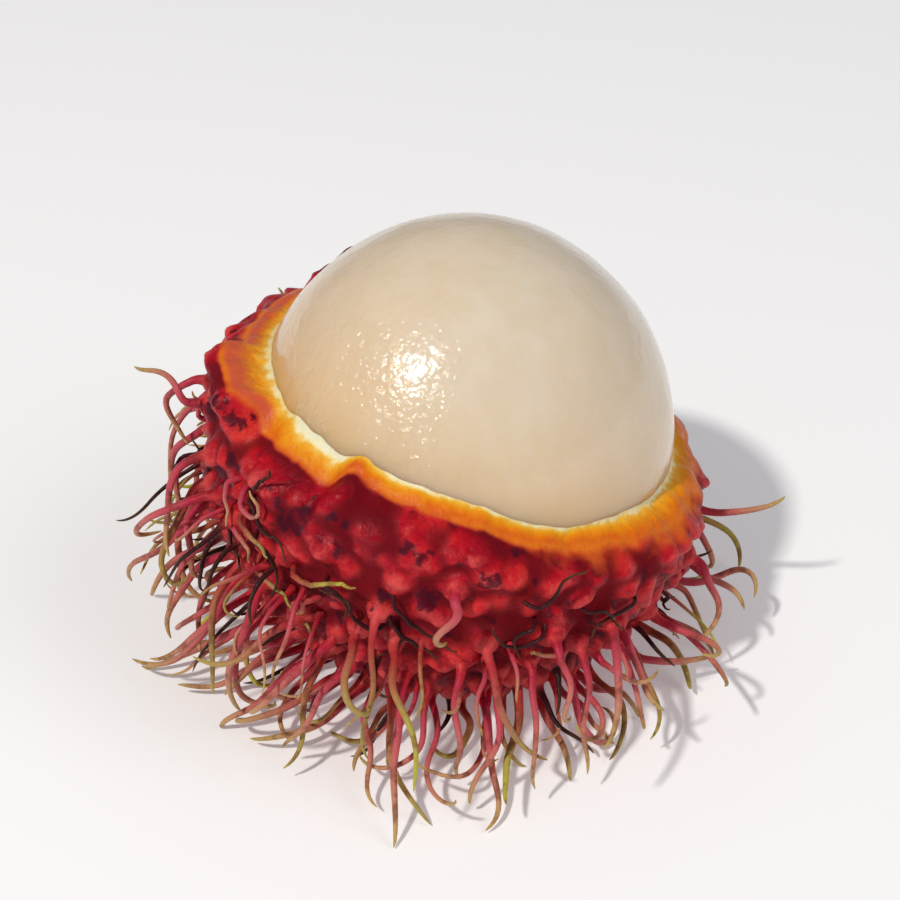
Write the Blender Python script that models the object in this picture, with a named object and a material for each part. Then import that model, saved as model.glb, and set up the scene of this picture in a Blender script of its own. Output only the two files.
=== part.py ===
"""A half-peeled rambutan standing on the end of its rind, in metres, +Z up.

Two pieces: the rind, a leathery cup with its soft spines grown out of it, and the pale aril, which sits in
the cup and shows above the cut. The origin is the centre of the small flat spot that the fruit rests on.
The body is an ellipsoid, so every point of it is a direction on a unit sphere, stretched, leaned and moved.
"""

import math

import bmesh
import bpy
import numpy as np
from mathutils import Matrix
from mathutils.geometry import delaunay_2d_cdt

MM = 0.001

# The fruit's body. Its long axis is local Z, and it leans towards +X.
SKIN_SEMI_AXES = np.array([21.2, 20.6, 22.1]) * MM
WALL = 3.0 * MM
ARIL_GAP = 0.3 * MM
LEAN = math.radians(8)
FLAT_DEPTH = 1.8 * MM

# The cut that took the top of the rind off. Its plane rises towards -X, and its outer edge is rounded off.
CUT_TILT = math.radians(16)
CUT_ABOVE_CENTRE = 2.7 * MM
EDGE_ROUNDING = 1.0 * MM

# Spines. Roots follow a spiral over the whole fruit, without those that the cut or the flat spot took.
# Under the cut, spines are fewer and shorter. Those that face the floor are shorter and straighter.
SPINES_ON_WHOLE_FRUIT = 600
ROOT_JITTER = 0.03
ROOT_ROUNDS = 8
ROOT_SPACING = 2.75 * MM
ROOT_TO_RIM = 3.0 * MM
ROOT_ABOVE_FLOOR = 2.2 * MM
SPINES_KEPT_AT_RIM = 0.15
FULL_GROWTH_BELOW_CUT = 14.0 * MM
SPINE_LENGTH = (10.5 * MM, 17.5 * MM)
LENGTH_AT_RIM = 0.6
SHORTER_UNDERNEATH = 0.25
STRAIGHTER_UNDERNEATH = 0.5
SPINE_SCATTER = 0.8
SPINE_STARTING_TILT = 0.35
SPINE_BEND = (math.radians(15), math.radians(135))
SPINE_BEND_POWER = 1.4
SPINE_TWIST = math.radians(110)
SPINE_DROOP = (0.0, 0.1)
SHARPEST_TURN = math.radians(19)
SPINE_STEPS = 20

# A spine's radius at shares of its length. It starts as a wide socket in the skin.
SPINE_SHARES = np.array([0.0, 0.14, 0.38, 0.60, 0.81, 1.0])
SPINE_RADII = np.array([0.90, 0.52, 0.44, 0.38, 0.33, 0.24]) * MM
SPINE_SIDES = 4

# How the spines settle clear of each other, of the skin and of the floor.
SETTLING_ROUNDS = 90
SPINE_CLEARANCE = 0.7 * MM
SKIN_CLEARANCE = 2.5 * MM
STIFFNESS = 0.25
STIFF_SHARE = 1 / 6
SEED = 12

# How finely the round surfaces are cut.
RIM_SIDES = 44
FLAT_SIDES = 20
CAVITY_RINGS = 7
ARIL_SEGMENTS = 36
ARIL_RINGS = 20

GOLDEN_ANGLE = math.pi * (3 - math.sqrt(5))
UP = np.array([0.0, 0.0, 1.0])
LEAN_MATRIX = np.array(Matrix.Rotation(LEAN, 3, "Y"))
CUT_NORMAL = np.array([math.sin(CUT_TILT), 0.0, math.cos(CUT_TILT)])


def unit(vectors):
    """The vectors, or one vector, at length 1."""
    return vectors / np.linalg.norm(vectors, axis=-1, keepdims=True)


def support(semi_axes, normal):
    """The direction on the unit sphere whose point reaches furthest along normal, and how far it reaches."""
    stretched = semi_axes * (LEAN_MATRIX.T @ normal)
    return unit(stretched), np.linalg.norm(stretched)


LOWEST, CENTRE_TO_LOWEST = support(SKIN_SEMI_AXES, -UP)
FLAT_COSINE = 1 - FLAT_DEPTH / CENTRE_TO_LOWEST
CENTRE = -LEAN_MATRIX @ (SKIN_SEMI_AXES * LOWEST) * FLAT_COSINE


def on_body(directions, semi_axes=SKIN_SEMI_AXES):
    """Places of unit-sphere directions on an ellipsoid round the fruit's centre."""
    return CENTRE + (directions * semi_axes) @ LEAN_MATRIX.T


def to_directions(places):
    """The reverse of on_body for the skin. A place outside the skin gives a vector longer than 1."""
    return ((places - CENTRE) @ LEAN_MATRIX) / SKIN_SEMI_AXES


def normals_at(directions):
    """Outward normals of the skin at unit-sphere directions."""
    return unit((directions / SKIN_SEMI_AXES) @ LEAN_MATRIX.T)


def side_axes(axis):
    """Two unit vectors square to axis and to each other. The first points as near to -Y as it can."""
    towards = np.array([0.0, -1.0, 0.0])
    first = unit(towards - (towards @ axis) * axis)
    return first, np.cross(axis, first)


def circle_on_sphere(axis, cosine, count):
    """Directions of a ring round axis, at the polar angle with that cosine."""
    first, second = side_axes(axis)
    angle = np.arange(count) * 2 * math.pi / count
    ring = np.outer(np.cos(angle), first) + np.outer(np.sin(angle), second)
    return cosine * axis + math.sqrt(1 - cosine**2) * ring


def level_circle(semi_axes, height):
    """Directions of a ring parallel to the cut, at a height over the centre, on an ellipsoid."""
    axis, reach = support(semi_axes, CUT_NORMAL)
    return circle_on_sphere(axis, height / reach, RIM_SIDES)


def below_cut(places):
    """How far places are below the cut's plane."""
    return CUT_ABOVE_CENTRE - (places - CENTRE) @ CUT_NORMAL


def spine_roots():
    """Directions of the spines' roots, on a jittered spiral, with none near the floor."""
    random = np.random.default_rng(SEED)
    step = np.arange(SPINES_ON_WHOLE_FRUIT) + 0.5
    height = 1 - 2 * step / SPINES_ON_WHOLE_FRUIT
    turn = GOLDEN_ANGLE * step
    width = np.sqrt(1 - height**2)
    spiral = np.stack([width * np.cos(turn), width * np.sin(turn), height], axis=1)
    directions = unit(spiral + random.normal(0, ROOT_JITTER, spiral.shape))
    for _ in range(ROOT_ROUNDS):
        offset = on_body(directions)[:, None] - on_body(directions)[None]
        distance = np.linalg.norm(offset, axis=2)[:, :, None] + 1e-9
        push = offset * np.clip(ROOT_SPACING - distance, 0, None) / distance
        directions = unit(directions + 0.6 * push.sum(axis=1) / SKIN_SEMI_AXES)
    places = on_body(directions)
    depth = below_cut(places)
    growth = np.clip((depth - ROOT_TO_RIM) / (FULL_GROWTH_BELOW_CUT - ROOT_TO_RIM), 0, 1)
    chance = SPINES_KEPT_AT_RIM + (1 - SPINES_KEPT_AT_RIM) * growth
    kept = random.uniform(0, 1, len(places)) < chance
    return directions[kept & (depth > ROOT_TO_RIM) & (places[:, 2] > ROOT_ABOVE_FLOOR)]


def turned(vectors, axes, angles):
    """Each vector turned about its own axis by its own angle."""
    cosine = np.cos(angles)[:, None]
    sine = np.sin(angles)[:, None]
    along = (vectors * axes).sum(axis=1, keepdims=True) * axes
    return vectors * cosine + np.cross(axes, vectors) * sine + along * (1 - cosine)


def radius_along(share):
    """A spine's radius at a share of its length."""
    return np.interp(share, SPINE_SHARES, SPINE_RADII)


def grown_spines(roots):
    """Centrelines, as spines by points by 3. Each leaves near the skin's normal and curls most at the tip."""
    random = np.random.default_rng(SEED + 1)
    count = len(roots)
    outward = normals_at(roots)
    scatter = random.normal(0, 1, (count, 3))

    # Neighbours lean alike, as if combed round the fruit, and those underneath splay out.
    combed = np.cross(outward, unit(np.array([0.3, 0.5, 1.0])))
    sideways = unit(outward * np.array([1.0, 1.0, 0.0]))
    underneath = np.clip(-1.2 * outward[:, 2] - 0.2, 0, 1)
    leaning = unit(np.cross(outward, combed + SPINE_SCATTER * scatter))
    leaning += underneath[:, None] * (sideways + UP)
    splayed = underneath[:, None] * (1.4 * sideways + 0.5 * UP)
    heading = unit(outward + SPINE_STARTING_TILT * leaning + splayed)

    growth = np.clip(below_cut(on_body(roots)) / FULL_GROWTH_BELOW_CUT, 0, 1)
    length = random.uniform(*SPINE_LENGTH, count) * (LENGTH_AT_RIM + (1 - LENGTH_AT_RIM) * growth)
    length *= 1 - SHORTER_UNDERNEATH * underneath
    bend_axis = unit(np.cross(heading, leaning))
    bend = random.uniform(*SPINE_BEND, count) * (1 - STRAIGHTER_UNDERNEATH * underneath)
    twist = random.uniform(-SPINE_TWIST, SPINE_TWIST, count)
    droop = random.uniform(*SPINE_DROOP, count)[:, None]
    line = [on_body(roots)]
    for step in range(SPINE_STEPS):
        share = (step + 0.5) / SPINE_STEPS
        sharper = (SPINE_BEND_POWER + 1) * share**SPINE_BEND_POWER
        heading = turned(heading, bend_axis, bend * sharper / SPINE_STEPS)
        bend_axis = unit(turned(bend_axis, heading, twist / SPINE_STEPS))
        heading = unit(heading - droop * UP)
        line.append(line[-1] + heading * (length / SPINE_STEPS)[:, None])
    return np.stack(line, axis=1)


def turned_towards(way, wanted):
    """The wanted directions, or where one turns too sharply from way, the nearest that it may turn to."""
    cosine = (way * wanted).sum(axis=1, keepdims=True)
    square = unit(wanted - cosine * way + 1e-9)
    limited = math.cos(SHARPEST_TURN) * way + math.sin(SHARPEST_TURN) * square
    return np.where(cosine < math.cos(SHARPEST_TURN), limited, wanted)


def pushed_apart(lines, radii):
    """The centrelines after each pair of points of different spines that are too near has moved apart."""
    points = lines.reshape(-1, 3)
    owner = np.repeat(np.arange(len(lines)), lines.shape[1])
    square = (points**2).sum(axis=1)
    apart = square[:, None] + square[None] - 2 * points @ points.T
    near = apart < (2 * radii[1:].max() + SPINE_CLEARANCE) ** 2
    one, other = np.nonzero(np.triu(near & (owner[:, None] != owner[None]), 1))
    offset = points[one] - points[other]
    distance = np.linalg.norm(offset, axis=1) + 1e-9
    thickness = np.tile(radii, len(lines))
    short = thickness[one] + thickness[other] + SPINE_CLEARANCE - distance
    push = offset * (0.5 * np.clip(short, 0, None) / distance)[:, None]
    move = np.zeros_like(points)
    np.add.at(move, one, push)
    np.add.at(move, other, -push)
    return lines + move.reshape(lines.shape)


def settled_spines(lines):
    """The centrelines, clear of each other, the skin and the floor, with their lengths and roots kept."""
    grown = lines
    share = np.linspace(0, 1, SPINE_STEPS + 1)
    radii = radius_along(share)
    free = np.clip(share / STIFF_SHARE, 0, 1)
    step_length = np.linalg.norm(lines[:, 1] - lines[:, 0], axis=1)[:, None]
    skin_scale = SKIN_SEMI_AXES.min()
    for _ in range(SETTLING_ROUNDS):
        lines = pushed_apart(lines, radii)

        shift = lines - grown
        shift[:, 1:-1] += STIFFNESS * (shift[:, 2:] - 2 * shift[:, 1:-1] + shift[:, :-2])
        lines = grown + shift * free[None, :, None]

        outside = np.linalg.norm(to_directions(lines), axis=2)
        lift = np.clip(1 + SKIN_CLEARANCE * free / skin_scale - outside, 0, None) * skin_scale
        lines = lines + unit(lines - CENTRE) * lift[:, :, None]
        lines[:, 1:, 2] = np.maximum(lines[:, 1:, 2], (radii + SPINE_CLEARANCE)[None, 1:])

        way = unit(lines[:, 1] - lines[:, 0])
        for step in range(SPINE_STEPS):
            way = turned_towards(way, unit(lines[:, step + 1] - lines[:, step]))
            lines[:, step + 1] = lines[:, step] + way * step_length
    return lines


def skin_mesh(roots):
    """A bmesh of the rind's outside: triangles between the spines' sockets, the flat spot and the cut's edge.

    Returns it with the socket faces, the vertices of the cut's edge and the side axes at each root.
    """
    places = on_body(roots)
    outward = normals_at(roots)
    first = unit(np.cross(outward, UP))
    second = np.cross(outward, first)
    angle = np.arange(SPINE_SIDES) * 2 * math.pi / SPINE_SIDES
    around = (
        np.cos(angle)[None, :, None] * first[:, None] + np.sin(angle)[None, :, None] * second[:, None]
    )
    sockets = unit(to_directions(places[:, None] + SPINE_RADII[0] * around))
    flat = circle_on_sphere(LOWEST, FLAT_COSINE, FLAT_SIDES)
    rim = level_circle(SKIN_SEMI_AXES, CUT_ABOVE_CENTRE - EDGE_ROUNDING)
    directions = np.concatenate([rim, flat, sockets.reshape(-1, 3)])

    axis, _ = support(SKIN_SEMI_AXES, CUT_NORMAL)
    across, along = side_axes(axis)
    flattened = np.stack([directions @ across, directions @ along], axis=1)
    flattened /= (1 - directions @ axis)[:, None]
    loops = [range(RIM_SIDES), range(RIM_SIDES, RIM_SIDES + FLAT_SIDES)]
    starts = range(RIM_SIDES + FLAT_SIDES, len(directions), SPINE_SIDES)
    loops += [range(start, start + SPINE_SIDES) for start in starts]
    edges = [(loop[i - 1], loop[i]) for loop in loops for i in range(len(loop))]
    _, _, triangles, _, _, _ = delaunay_2d_cdt([tuple(p) for p in flattened], edges, [], 0, 1e-7)

    ring_of = np.zeros(len(directions), int)
    for number, loop in enumerate(loops):
        ring_of[list(loop)] = number
    mesh = bmesh.new()
    verts = [mesh.verts.new(place) for place in on_body(directions)]
    for triangle in triangles:
        rings = {ring_of[i] for i in triangle}
        if len(rings) > 1:
            mesh.faces.new([verts[i] for i in triangle])
    mesh.faces.new([verts[i] for i in loops[1]])
    socket_faces = [mesh.faces.new([verts[i] for i in loop]) for loop in loops[2:]]
    return mesh, socket_faces, [verts[i] for i in loops[0]], first, second


def extrude_spine(mesh, socket, line, first, second):
    """Extrudes a socket face along its spine's centreline, narrowing, with its sides kept untwisted."""
    steps = np.arange(SPINE_STEPS + 1)
    face = socket
    side, other = first, second
    angle = np.arange(SPINE_SIDES) * 2 * math.pi / SPINE_SIDES
    for share, radius in zip(SPINE_SHARES[1:], SPINE_RADII[1:], strict=True):
        stop = share * SPINE_STEPS
        here = np.array([np.interp(stop, steps, line[:, i]) for i in range(3)])
        before = np.array([np.interp(stop - 1, steps, line[:, i]) for i in range(3)])
        way = unit(here - before)
        side = unit(side - (side @ way) * way)
        other = np.cross(way, side)
        ring = here + radius * (np.outer(np.cos(angle), side) + np.outer(np.sin(angle), other))
        face = bmesh.ops.extrude_discrete_faces(mesh, faces=[face])["faces"][0]
        for vert, place in zip(face.verts, ring, strict=True):
            vert.co = place


def close_inside(mesh, rim):
    """Adds the cut's rounded edge, its narrow face and the cup's inside, ring by ring to the lowest point."""
    inside = SKIN_SEMI_AXES - WALL
    axis, reach = support(inside, CUT_NORMAL)
    start = math.acos(CUT_ABOVE_CENTRE / reach)
    polars = np.linspace(start, math.pi, CAVITY_RINGS + 1)[:-1]
    edge = SKIN_SEMI_AXES - EDGE_ROUNDING
    rings = [on_body(level_circle(edge, CUT_ABOVE_CENTRE), edge)]
    rings += [on_body(circle_on_sphere(axis, math.cos(polar), RIM_SIDES), inside) for polar in polars]
    outer = rim
    for ring in rings:
        inner = [mesh.verts.new(place) for place in ring]
        for i in range(RIM_SIDES):
            mesh.faces.new([outer[i - 1], outer[i], inner[i], inner[i - 1]])
        outer = inner
    bottom = mesh.verts.new(on_body(-axis, inside))
    for i in range(RIM_SIDES):
        mesh.faces.new([outer[i - 1], outer[i], bottom])


def material(name, colour, roughness):
    """A plain Principled material."""
    made = bpy.data.materials.new(name)
    made.use_nodes = True
    shader = made.node_tree.nodes["Principled BSDF"]
    shader.inputs["Base Color"].default_value = (*colour, 1.0)
    shader.inputs["Roughness"].default_value = roughness
    shader.inputs["Metallic"].default_value = 0.0
    made.diffuse_color = (*colour, 1.0)
    return made


def add_object(name, mesh, finish):
    """Turns a bmesh into a named object with smooth round sides."""
    bmesh.ops.recalc_face_normals(mesh, faces=mesh.faces[:])
    data = bpy.data.meshes.new(name)
    mesh.to_mesh(data)
    mesh.free()
    data.materials.append(finish)
    data.shade_smooth()
    data.set_sharp_from_angle(angle=math.radians(50))
    made = bpy.data.objects.new(name, data)
    bpy.context.scene.collection.objects.link(made)
    return made


def build_rind():
    """The cup of rind, with every spine grown out of its skin."""
    roots = spine_roots()
    lines = settled_spines(grown_spines(roots))
    mesh, sockets, rim, first, second = skin_mesh(roots)
    for number, socket in enumerate(sockets):
        extrude_spine(mesh, socket, lines[number], first[number], second[number])
    close_inside(mesh, rim)
    return add_object("rind", mesh, material("rind", (0.52, 0.03, 0.03), 0.42))


def build_aril():
    """The pale flesh, a whole ellipsoid standing in the cup."""
    mesh = bmesh.new()
    bmesh.ops.create_uvsphere(mesh, u_segments=ARIL_SEGMENTS, v_segments=ARIL_RINGS, radius=1.0)
    places = on_body(np.array([vert.co for vert in mesh.verts]), SKIN_SEMI_AXES - WALL - ARIL_GAP)
    for vert, place in zip(mesh.verts, places, strict=True):
        vert.co = place
    return add_object("aril", mesh, material("aril", (0.80, 0.74, 0.60), 0.25))


def main():
    for old in list(bpy.data.objects):
        bpy.data.objects.remove(old)
    build_rind()
    build_aril()


main()
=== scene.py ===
"""Looks of the half-peeled rambutan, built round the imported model. Metres, +Z up, the CAD's own frame.

The rind and the aril are grown again as fine meshes that stand for the CAD nodes. The spines' roots and
centrelines follow the CAD's own rules and seeds, so each fine spine lies along its CAD spine.
"""

import math

import bmesh
import bpy
import numpy as np
from mathutils import Matrix, Vector, kdtree, noise
from mathutils.geometry import delaunay_2d_cdt


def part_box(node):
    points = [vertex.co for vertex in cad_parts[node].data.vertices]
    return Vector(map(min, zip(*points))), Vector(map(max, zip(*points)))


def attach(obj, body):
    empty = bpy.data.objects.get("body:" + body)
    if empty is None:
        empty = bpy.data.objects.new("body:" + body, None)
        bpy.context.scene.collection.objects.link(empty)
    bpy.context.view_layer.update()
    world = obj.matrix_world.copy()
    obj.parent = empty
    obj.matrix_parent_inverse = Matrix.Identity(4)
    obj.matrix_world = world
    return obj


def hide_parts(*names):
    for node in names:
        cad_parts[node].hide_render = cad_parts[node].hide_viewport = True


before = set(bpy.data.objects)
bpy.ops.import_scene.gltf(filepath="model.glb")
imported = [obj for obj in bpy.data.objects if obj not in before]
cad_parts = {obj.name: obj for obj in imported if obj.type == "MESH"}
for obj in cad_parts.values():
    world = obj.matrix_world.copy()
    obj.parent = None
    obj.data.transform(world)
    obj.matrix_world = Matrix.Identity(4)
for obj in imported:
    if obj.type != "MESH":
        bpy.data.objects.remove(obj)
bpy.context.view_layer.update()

MM = 0.001

# The fruit's body, its cut and its spines, as the CAD has them.
SKIN_SEMI_AXES = np.array([21.2, 20.6, 22.1]) * MM
WALL = 3.0 * MM
ARIL_GAP = 0.3 * MM
LEAN = math.radians(8)
FLAT_DEPTH = 1.8 * MM
CUT_TILT = math.radians(16)
CUT_ABOVE_CENTRE = 2.7 * MM
SPINES_ON_WHOLE_FRUIT = 600
ROOT_JITTER = 0.03
ROOT_ROUNDS = 8
ROOT_SPACING = 2.75 * MM
ROOT_TO_RIM = 3.0 * MM
ROOT_ABOVE_FLOOR = 2.2 * MM
SPINES_KEPT_AT_RIM = 0.15
FULL_GROWTH_BELOW_CUT = 14.0 * MM
SPINE_LENGTH = (10.5 * MM, 17.5 * MM)
LENGTH_AT_RIM = 0.6
SHORTER_UNDERNEATH = 0.25
STRAIGHTER_UNDERNEATH = 0.5
SPINE_SCATTER = 0.8
SPINE_STARTING_TILT = 0.35
SPINE_BEND = (math.radians(15), math.radians(135))
SPINE_BEND_POWER = 1.4
SPINE_TWIST = math.radians(110)
SPINE_DROOP = (0.0, 0.1)
SHARPEST_TURN = math.radians(19)
SPINE_STEPS = 20
SPINE_SHARES = np.array([0.0, 0.14, 0.38, 0.60, 0.81, 1.0])
SPINE_RADII = np.array([0.90, 0.52, 0.44, 0.38, 0.33, 0.24]) * MM
SETTLING_ROUNDS = 90
SPINE_CLEARANCE = 0.7 * MM
SKIN_CLEARANCE = 2.5 * MM
STIFFNESS = 0.25
STIFF_SHARE = 1 / 6
SEED = 12

# How fine the meshes are.
SKIN_SPACING = 0.33 * MM
SOCKET_SIDES = 8
SOCKET_RADIUS = 0.50 * MM
RIM_SIDES = 360
SPINE_RINGS = 26
FINE_SPINE_RINGS = 18
HAIR_RINGS = 18
CAVITY_RINGS = 6
ARIL_SPACING = 0.45 * MM

GOLDEN_ANGLE = math.pi * (3 - math.sqrt(5))
UP = np.array([0.0, 0.0, 1.0])
LEAN_MATRIX = np.array(Matrix.Rotation(LEAN, 3, "Y"))
CUT_NORMAL = np.array([math.sin(CUT_TILT), 0.0, math.cos(CUT_TILT)])

# The skin's lumps, and the cones that the spines grow from. Heights and girths are in millimetres.
LUMPS_ON_WHOLE_FRUIT = 900
LUMP_SPACING = 1.9 * MM
LUMPS_MIXED = 4
LUMP_SWAY = 0.6 * MM
BARE_LUMP_SIZE = (0.45, 1.2)
SPINE_LUMP_SIZE = 1.1
LUMP_GIRTH = (0.85, 1.35)
LUMP_HEIGHT = 1.05
CONE_HEIGHT = 1.3
CONE_WIDTH = (0.35 * MM, 1.5 * MM)

# The spines. Dry ones are broken off, and fine ones grow between the CAD's. A taper is pairs of a share of
# the length and a radius in millimetres.
DRY_SPINES = 0.15
DRY_REACH = (0.4, 0.9)
SPINE_GIRTH = (0.80, 1.15)
DRY_IS_THINNER_BY = 0.35
SPINE_TAPER = ((0, 0.37), (0.10, 0.35), (0.35, 0.31), (0.65, 0.26), (0.88, 0.19), (0.97, 0.12), (1, 0.05))
HOOK_START = 0.62
HOOK_TURN = (-0.3, 2.6)
LOWEST_CENTRELINE = 0.3 * MM
FINE_SPINES = 70
FINE_ROOTS_ON_WHOLE_FRUIT = 900
FINE_ROOT_TO_ROOT = 1.3 * MM
FINE_ROOT_BELOW_CUT = 8.5 * MM
FINE_REACH = (0.45, 0.85)
FINE_GIRTH = (0.50, 0.70)

# The dry broken spines that lie on the skin. Lengths and depths are in millimetres.
HAIRS = 64
HAIR_LENGTH = (3.5, 8.5)
HAIR_BELOW_CUT = (0.5, 9.0)
HAIR_FROM_CENTRE = 21 * MM
HAIR_TAPER = ((0, 0.27), (0.5, 0.21), (0.9, 0.13), (1, 0.06))
DRY_HAIRS = 0.7

# The features of the torn rim. Places, ranges and widths are azimuths round the cut in degrees: 0 is at -Y,
# +X is at 90. Depths and rises are in millimetres.
TEAR = (-62, -38)
TEAR_DEPTH = 1.6
LINING_SHOWN = (-53, -40)
LINING_PARTLY_SHOWN = (-24, -15)
LINING_HIDDEN = (-135, -68)
TAB_AT = -33
TAB_WIDTH = 3.2
TAB_RISE = 0.7
LOBE = (-88, -70)
LOBE_RISE = 1.0
LOBE_REACH = 2.0 * MM
SHRED = (-158, -141)
SHRED_RISE = 3.7
HIGH_FRONT = (-46, -8)
HIGH_FRONT_RISE = 1.1
ROSY = (-165, -66)
FACE_NARROW_FRONT = (-42, 28)
FACE_NARROW_LEFT = (-66, -60)
FACE_BROAD = (65, 120)
ORANGE_BROAD = (46, 125)
ORANGE_NARROW = (-84, 8)
ORANGE_FADING = (16, 30)
# Where the painted shade and orange bounce light on the flesh reach further up from the rind.
FLESH_SHADE_LEFT = (-140, -50)
FLESH_SHADE_RIGHT = (28, 80)
FLESH_PRESSED = (-56, -24)

# The cut's face. It starts and ends at shares of the wall, and ends just inside the flesh. Its profile is
# pairs of a share of its width and a height in millimetres.
LIP_START = 0.44
LIP_END = 1.13
LIP_PROFILE = (
    (0.10, 0.16),
    (0.24, 0.32),
    (0.40, 0.42),
    (0.56, 0.48),
    (0.70, 0.53),
    (0.80, 0.58),
    (0.87, 0.66),
    (0.92, 0.78),
    (0.96, 0.98),
    (1.0, 1.30),
)
EDGE_ROUND = 2.9 * MM
ORANGE_BORDER = 4.0 * MM

# What each point of the rind knows about its place, for the rind's material.
SHARES = ("strand", "dry", "tone", "lump", "furrow", "edge", "lip", "torn", "rosy")


# The body's geometry, as in the CAD.


def unit(vectors):
    """The vectors, or one vector, at length 1."""
    return vectors / np.linalg.norm(vectors, axis=-1, keepdims=True)


def support(semi_axes, normal):
    """The direction on the unit sphere whose point reaches furthest along normal, and how far it reaches."""
    stretched = semi_axes * (LEAN_MATRIX.T @ normal)
    return unit(stretched), np.linalg.norm(stretched)


LOWEST, CENTRE_TO_LOWEST = support(SKIN_SEMI_AXES, -UP)
FLAT_COSINE = 1 - FLAT_DEPTH / CENTRE_TO_LOWEST
CENTRE = -LEAN_MATRIX @ (SKIN_SEMI_AXES * LOWEST) * FLAT_COSINE


def on_body(directions, semi_axes=SKIN_SEMI_AXES):
    """Places of unit-sphere directions on an ellipsoid round the fruit's centre."""
    return CENTRE + (directions * semi_axes) @ LEAN_MATRIX.T


def to_directions(places):
    """The reverse of on_body for the skin. A place outside the skin gives a vector longer than 1."""
    return ((places - CENTRE) @ LEAN_MATRIX) / SKIN_SEMI_AXES


def normals_at(directions):
    """Outward normals of the skin at unit-sphere directions."""
    return unit((directions / SKIN_SEMI_AXES) @ LEAN_MATRIX.T)


def side_axes(axis):
    """Two unit vectors square to axis and to each other. The first points as near to -Y as it can."""
    towards = np.array([0.0, -1.0, 0.0])
    first = unit(towards - (towards @ axis) * axis)
    return first, np.cross(axis, first)


def below_cut(places):
    """How far places are below the cut's plane."""
    return CUT_ABOVE_CENTRE - (places - CENTRE) @ CUT_NORMAL


# The spines' layout, as in the CAD.


def spiral(count):
    """Directions spread evenly over the unit sphere."""
    step = np.arange(count) + 0.5
    height = 1 - 2 * step / count
    turn = GOLDEN_ANGLE * step
    width = np.sqrt(1 - height**2)
    return np.stack([width * np.cos(turn), width * np.sin(turn), height], axis=1)


def spine_roots():
    """Directions of the spines' roots, on a jittered spiral, with none near the floor."""
    random = np.random.default_rng(SEED)
    even = spiral(SPINES_ON_WHOLE_FRUIT)
    directions = unit(even + random.normal(0, ROOT_JITTER, even.shape))
    for _ in range(ROOT_ROUNDS):
        offset = on_body(directions)[:, None] - on_body(directions)[None]
        distance = np.linalg.norm(offset, axis=2)[:, :, None] + 1e-9
        push = offset * np.clip(ROOT_SPACING - distance, 0, None) / distance
        directions = unit(directions + 0.6 * push.sum(axis=1) / SKIN_SEMI_AXES)
    places = on_body(directions)
    depth = below_cut(places)
    growth = np.clip((depth - ROOT_TO_RIM) / (FULL_GROWTH_BELOW_CUT - ROOT_TO_RIM), 0, 1)
    chance = SPINES_KEPT_AT_RIM + (1 - SPINES_KEPT_AT_RIM) * growth
    kept = random.uniform(0, 1, len(places)) < chance
    return directions[kept & (depth > ROOT_TO_RIM) & (places[:, 2] > ROOT_ABOVE_FLOOR)]


def turned(vectors, axes, angles):
    """Each vector turned about its own axis by its own angle."""
    cosine = np.cos(angles)[:, None]
    sine = np.sin(angles)[:, None]
    along = (vectors * axes).sum(axis=1, keepdims=True) * axes
    return vectors * cosine + np.cross(axes, vectors) * sine + along * (1 - cosine)


def radius_along(share):
    """A spine's radius at a share of its length."""
    return np.interp(share, SPINE_SHARES, SPINE_RADII)


def grown_spines(roots):
    """Centrelines, as spines by points by 3. Each leaves near the skin's normal and curls most at the tip."""
    random = np.random.default_rng(SEED + 1)
    count = len(roots)
    outward = normals_at(roots)
    scatter = random.normal(0, 1, (count, 3))

    # Neighbours lean alike, as if combed round the fruit, and those underneath splay out.
    combed = np.cross(outward, unit(np.array([0.3, 0.5, 1.0])))
    sideways = unit(outward * np.array([1.0, 1.0, 0.0]))
    underneath = np.clip(-1.2 * outward[:, 2] - 0.2, 0, 1)
    leaning = unit(np.cross(outward, combed + SPINE_SCATTER * scatter))
    leaning += underneath[:, None] * (sideways + UP)
    splayed = underneath[:, None] * (1.4 * sideways + 0.5 * UP)
    heading = unit(outward + SPINE_STARTING_TILT * leaning + splayed)

    growth = np.clip(below_cut(on_body(roots)) / FULL_GROWTH_BELOW_CUT, 0, 1)
    length = random.uniform(*SPINE_LENGTH, count) * (LENGTH_AT_RIM + (1 - LENGTH_AT_RIM) * growth)
    length *= 1 - SHORTER_UNDERNEATH * underneath
    bend_axis = unit(np.cross(heading, leaning))
    bend = random.uniform(*SPINE_BEND, count) * (1 - STRAIGHTER_UNDERNEATH * underneath)
    twist = random.uniform(-SPINE_TWIST, SPINE_TWIST, count)
    droop = random.uniform(*SPINE_DROOP, count)[:, None]
    line = [on_body(roots)]
    for step in range(SPINE_STEPS):
        share = (step + 0.5) / SPINE_STEPS
        sharper = (SPINE_BEND_POWER + 1) * share**SPINE_BEND_POWER
        heading = turned(heading, bend_axis, bend * sharper / SPINE_STEPS)
        bend_axis = unit(turned(bend_axis, heading, twist / SPINE_STEPS))
        heading = unit(heading - droop * UP)
        line.append(line[-1] + heading * (length / SPINE_STEPS)[:, None])
    return np.stack(line, axis=1)


def turned_towards(way, wanted):
    """The wanted directions, or where one turns too sharply from way, the nearest that it may turn to."""
    cosine = (way * wanted).sum(axis=1, keepdims=True)
    square = unit(wanted - cosine * way + 1e-9)
    limited = math.cos(SHARPEST_TURN) * way + math.sin(SHARPEST_TURN) * square
    return np.where(cosine < math.cos(SHARPEST_TURN), limited, wanted)


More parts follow.
